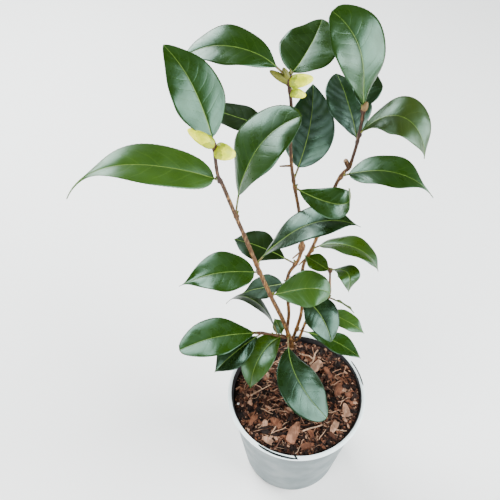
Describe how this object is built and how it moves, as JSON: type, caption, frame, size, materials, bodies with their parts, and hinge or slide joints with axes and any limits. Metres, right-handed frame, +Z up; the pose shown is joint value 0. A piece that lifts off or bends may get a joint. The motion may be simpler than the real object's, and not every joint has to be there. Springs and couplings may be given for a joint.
{
  "type": "potted camellia shrub",
  "caption": "Young camellia shrub in a tapered plastic pot: slender leaning stems, glossy pointed leaves, flower buds at the shoot tips and bark compost.",
  "frame": {"origin": "centre of the pot's flat underside", "axes": "+Z up; -Y towards the front, the side that the plant's best leaves face; +X to the right seen from the front"},
  "size_m": [0.2488, 0.1834, 0.4819],
  "materials": {
    "pot": "thin moulded plastic, pale blue-grey, softly shining, with a nearly white rolled lip",
    "compost": "loose composted bark, reddish brown with dark gaps and a few pale chips",
    "bark": "smooth young bark, brown with tan lights",
    "foliage": "leathery dark green leaves, glossy above and duller below, with pale midribs; pale yellow-green buds"
  },
  "bodies": {
    "root": {"pot": "pot", "compost": "compost", "main_stem": "bark", "centre_bough": "bark", "right_bough": "bark", "low_right_bough": "bark", "left_crown": "foliage", "centre_crown": "foliage", "right_crown": "foliage", "low_right_crown": "foliage", "low_left_spray": "foliage", "leaf_left_upper": "foliage", "leaf_left_middle": "foliage", "leaf_left_outer": "foliage", "leaf_front_middle": "foliage", "leaf_front_low": "foliage", "leaf_centre_back": "foliage", "leaf_centre_upright": "foliage", "leaf_centre_curled": "foliage", "leaf_centre_left": "foliage", "leaf_inner_left": "foliage", "leaf_back_middle": "foliage", "leaf_back_low": "foliage", "leaf_right_upper": "foliage", "leaf_right_middle": "foliage", "leaf_right_hanging": "foliage", "leaf_right_edge": "foliage", "leaf_right_small": "foliage", "leaf_low_right": "foliage"}
  },
  "joints": []
}
